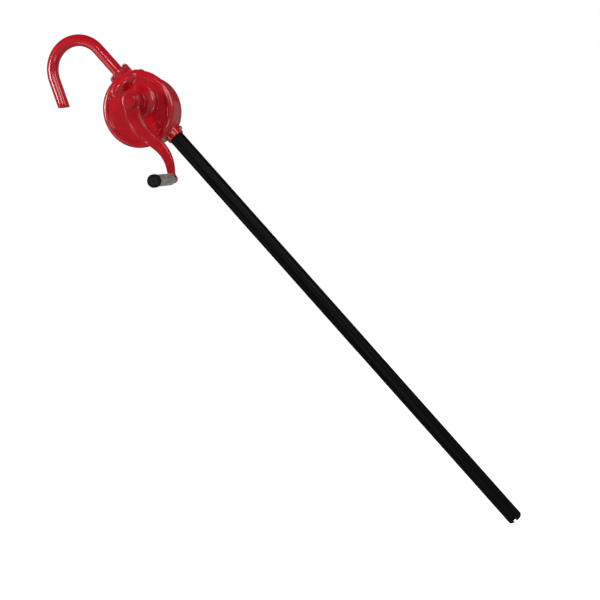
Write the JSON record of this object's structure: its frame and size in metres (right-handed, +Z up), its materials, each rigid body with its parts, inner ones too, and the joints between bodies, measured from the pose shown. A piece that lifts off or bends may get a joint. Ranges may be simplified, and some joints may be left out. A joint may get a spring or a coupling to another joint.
{
  "type": "rotary hand transfer pump",
  "caption": "Hand-cranked rotary vane pump on a long straight suction pipe, with a hooked discharge spout, for emptying drums.",
  "frame": {"origin": "on the suction pipe's axis, at the lower face of the inlet neck, where the pipe leaves the casting", "axes": "+Z up along the pipe, -Y out of the crank side along the shaft, -X towards the spout's mouth"},
  "size_m": [0.2221, 0.2108, 1.4104],
  "materials": {
    "red_paint": "glossy red enamel over cast iron and steel tube",
    "crank_paint": "glossy red enamel, a little darker, over a cast crank",
    "black_pipe": "satin black coated steel tube",
    "black_plastic": "moulded black plastic",
    "zinc": "dull zinc plating",
    "steel": "machined steel",
    "bronze": "sintered bronze",
    "cast_iron": "machined cast iron",
    "gasket": "pressed fibre sheet",
    "packing": "braided graphite packing",
    "seal_rubber": "moulded nitrile rubber"
  },
  "bodies": {
    "casing": {"pump_body": "red_paint", "cover_gasket": "gasket", "rear_cover": "red_paint", "cover_screw_1": "zinc", "cover_screw_2": "zinc", "cover_screw_3": "zinc", "cover_screw_4": "zinc", "cover_screw_5": "zinc", "cover_screw_6": "zinc", "front_bush": "bronze", "rear_bush": "bronze", "packing_ring_1": "packing", "packing_ring_2": "packing", "packing_ring_3": "packing", "gland_nut": "red_paint", "pipe_lock_screw": "zinc", "suction_pipe": "black_pipe", "foot_strainer": "black_plastic", "flange_gasket": "gasket", "spout_flange": "red_paint", "flange_bolt_1": "zinc", "flange_bolt_2": "zinc", "spout_seal": "seal_rubber"},
    "crank": {"shaft": "steel", "rotor": "cast_iron", "rotor_pin": "steel", "upper_vane_spring_1": "steel", "upper_vane_spring_2": "steel", "lower_vane_spring_1": "steel", "lower_vane_spring_2": "steel", "crank_arm": "crank_paint", "crank_set_screw": "steel", "grip_pin": "steel", "grip_nut": "zinc", "grip_washer": "zinc"},
    "vane_up": {"upper_vane": "steel"},
    "vane_down": {"lower_vane": "steel"},
    "grip": {"grip_sleeve": "zinc", "grip_bush_inner": "black_plastic", "grip_bush_outer": "black_plastic", "grip_end_cap": "black_plastic"},
    "spout": {"spout_tube": "red_paint"}
  },
  "joints": [
    {"name": "crank_turn", "type": "hinge", "parent": "casing", "child": "crank", "pos_m": [0, -0.05, 0.103], "axis": [0, -1, 0], "continuous": true},
    {"name": "grip_spin", "type": "hinge", "parent": "crank", "child": "grip", "pos_m": [-0.04772, -0.12, -0.07263], "axis": [0, -1, 0], "continuous": true},
    {"name": "upper_vane_slide", "type": "slide", "parent": "crank", "child": "vane_up", "axis": [0, 0, 1], "range_m": [-0.0012, 0], "stiffness_N_per_m": 300, "springref_m": 0.004, "deforming": ["upper_vane_spring_1", "upper_vane_spring_2"]},
    {"name": "lower_vane_slide", "type": "slide", "parent": "crank", "child": "vane_down", "axis": [0, 0, -1], "range_m": [-0.0012, 0], "stiffness_N_per_m": 300, "springref_m": 0.004, "deforming": ["lower_vane_spring_1", "lower_vane_spring_2"]},
    {"name": "spout_swivel", "type": "hinge", "parent": "casing", "child": "spout", "pos_m": [0, 0, 0.18], "axis": [0, 0, 1], "range_deg": [-110, 15]}
  ]
}
